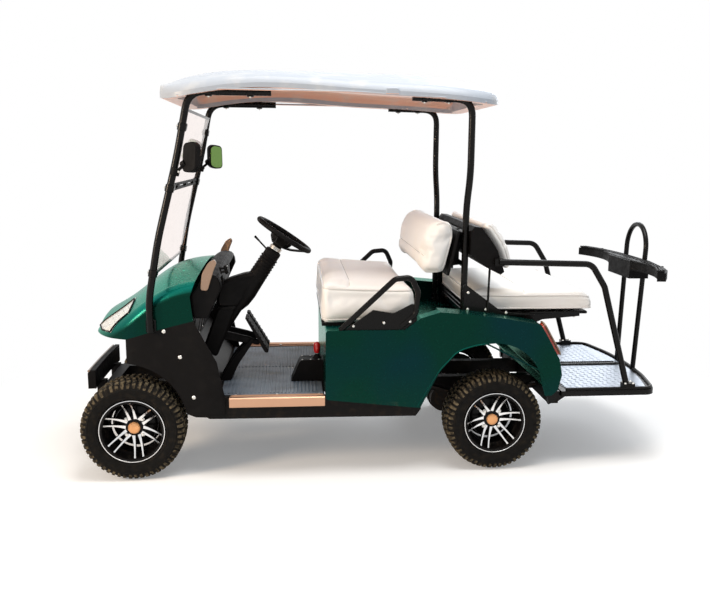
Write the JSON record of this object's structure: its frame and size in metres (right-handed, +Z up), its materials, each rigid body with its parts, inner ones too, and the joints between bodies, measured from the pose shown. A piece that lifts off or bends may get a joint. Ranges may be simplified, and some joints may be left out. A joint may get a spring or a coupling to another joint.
{
  "type": "four-seat golf cart",
  "caption": "Open golf cart with a canopy, a folding-style windscreen, back-to-back bench seats, a rear footplate with a grab bar and a bag rest, and steered front wheels.",
  "frame": {"origin": "on the ground, midway between the front of the bumper and the rear edge of the bag rest, on the centre plane", "axes": "+X to the rear of the cart, +Y to the passenger's side, +Z up; the driver sits at -Y and the nose points to -X"},
  "size_m": [2.838, 1.168, 1.8771],
  "materials": {
    "tyre": "rough",
    "rim": "glossy",
    "body_green": "glossy",
    "roof_white": "satin",
    "vinyl": "satin",
    "tube_black": "glossy",
    "trim_black": "textured",
    "frame_black": "satin",
    "mat_grey": "matt",
    "sill": "brushed",
    "plate": "bright",
    "glass": "clear",
    "lamp_clear": "clear",
    "lamp_red": "glossy",
    "knob": "glossy",
    "cast": "rough",
    "battery": "matt"
  },
  "bodies": {
    "chassis": {"arm_rails": "tube_black", "bag_rest": "trim_black", "battery_pack": "battery", "chassis_frame": "frame_black", "dash_panel": "trim_black", "floor_mat": "mat_grey", "floor_pan": "frame_black", "footplate_brackets": "tube_black", "footplate_deck": "plate", "footplate_frame": "tube_black", "front_axle": "cast", "front_back_shell": "trim_black", "front_bumper": "trim_black", "front_cowl": "body_green", "front_seat_back": "vinyl", "front_side_panels": "trim_black", "front_struts": "tube_black", "grab_bar": "tube_black", "headlamps": "lamp_clear", "hip_rails": "tube_black", "leaf_springs": "cast", "mirrors": "trim_black", "pedals": "trim_black", "rear_axle": "cast", "rear_back_shell": "trim_black", "rear_body": "body_green", "rear_seat_back": "vinyl", "rear_seat_base": "tube_black", "rear_seat_cushion": "vinyl", "rear_side_frames": "tube_black", "rear_struts": "tube_black", "roof": "roof_white", "shift_console": "trim_black", "shift_lever": "knob", "sill_plates": "sill", "steering_column": "trim_black", "tail_lamps": "lamp_red", "windscreen": "glass"},
    "front_seat": {"seat_lid": "trim_black", "front_seat_cushion": "vinyl"},
    "steering_wheel": {"steering_wheel": "trim_black"},
    "knuckle_left": {"knuckle_left": "cast"},
    "knuckle_right": {"knuckle_right": "cast"},
    "tie_rod": {"tie_rod": "cast"},
    "wheel_front_left": {"tyre_front_left": "tyre", "rim_front_left": "rim"},
    "wheel_front_right": {"tyre_front_right": "tyre", "rim_front_right": "rim"},
    "wheel_rear_left": {"tyre_rear_left": "tyre", "rim_rear_left": "rim"},
    "wheel_rear_right": {"tyre_rear_right": "tyre", "rim_rear_right": "rim"}
  },
  "joints": [
    {"name": "steer_left", "type": "hinge", "parent": "chassis", "child": "knuckle_left", "pos_m": [-1.166, -0.388, 0.227], "axis": [0, 0, 1], "range_deg": [-28, 28]},
    {"name": "steer_right", "type": "hinge", "parent": "chassis", "child": "knuckle_right", "pos_m": [-1.166, 0.388, 0.227], "axis": [0, 0, 1], "range_deg": [-28, 28]},
    {"name": "tie_rod_pivot", "type": "hinge", "parent": "knuckle_left", "child": "tie_rod", "pos_m": [-1.081, -0.388, 0.181], "axis": [0, 0, 1], "range_deg": [-28, 28]},
    {"name": "steering_wheel_turn", "type": "hinge", "parent": "chassis", "child": "steering_wheel", "pos_m": [-0.473, -0.28, 1.106], "axis": [0.549, 0, 0.8358], "range_deg": [-336, 336]},
    {"name": "spin_front_left", "type": "hinge", "parent": "knuckle_left", "child": "wheel_front_left", "pos_m": [-1.166, -0.473, 0.235], "axis": [0, 1, 0], "continuous": true},
    {"name": "spin_front_right", "type": "hinge", "parent": "knuckle_right", "child": "wheel_front_right", "pos_m": [-1.166, 0.473, 0.235], "axis": [0, 1, 0], "continuous": true},
    {"name": "spin_rear_left", "type": "hinge", "parent": "chassis", "child": "wheel_rear_left", "pos_m": [0.519, -0.47, 0.235], "axis": [0, 1, 0], "continuous": true},
    {"name": "spin_rear_right", "type": "hinge", "parent": "chassis", "child": "wheel_rear_right", "pos_m": [0.519, 0.47, 0.235], "axis": [0, 1, 0], "continuous": true},
    {"name": "front_seat_lift", "type": "hinge", "parent": "chassis", "child": "front_seat", "pos_m": [0.141, 0, 0.704], "axis": [0, 1, 0], "range_deg": [0, 38]}
  ],
  "couplings": [
    {"joint": "steer_right", "follows": "steer_left", "ratio": 1},
    {"joint": "tie_rod_pivot", "follows": "steer_left", "ratio": -1},
    {"joint": "steering_wheel_turn", "follows": "steer_left", "ratio": 12}
  ]
}
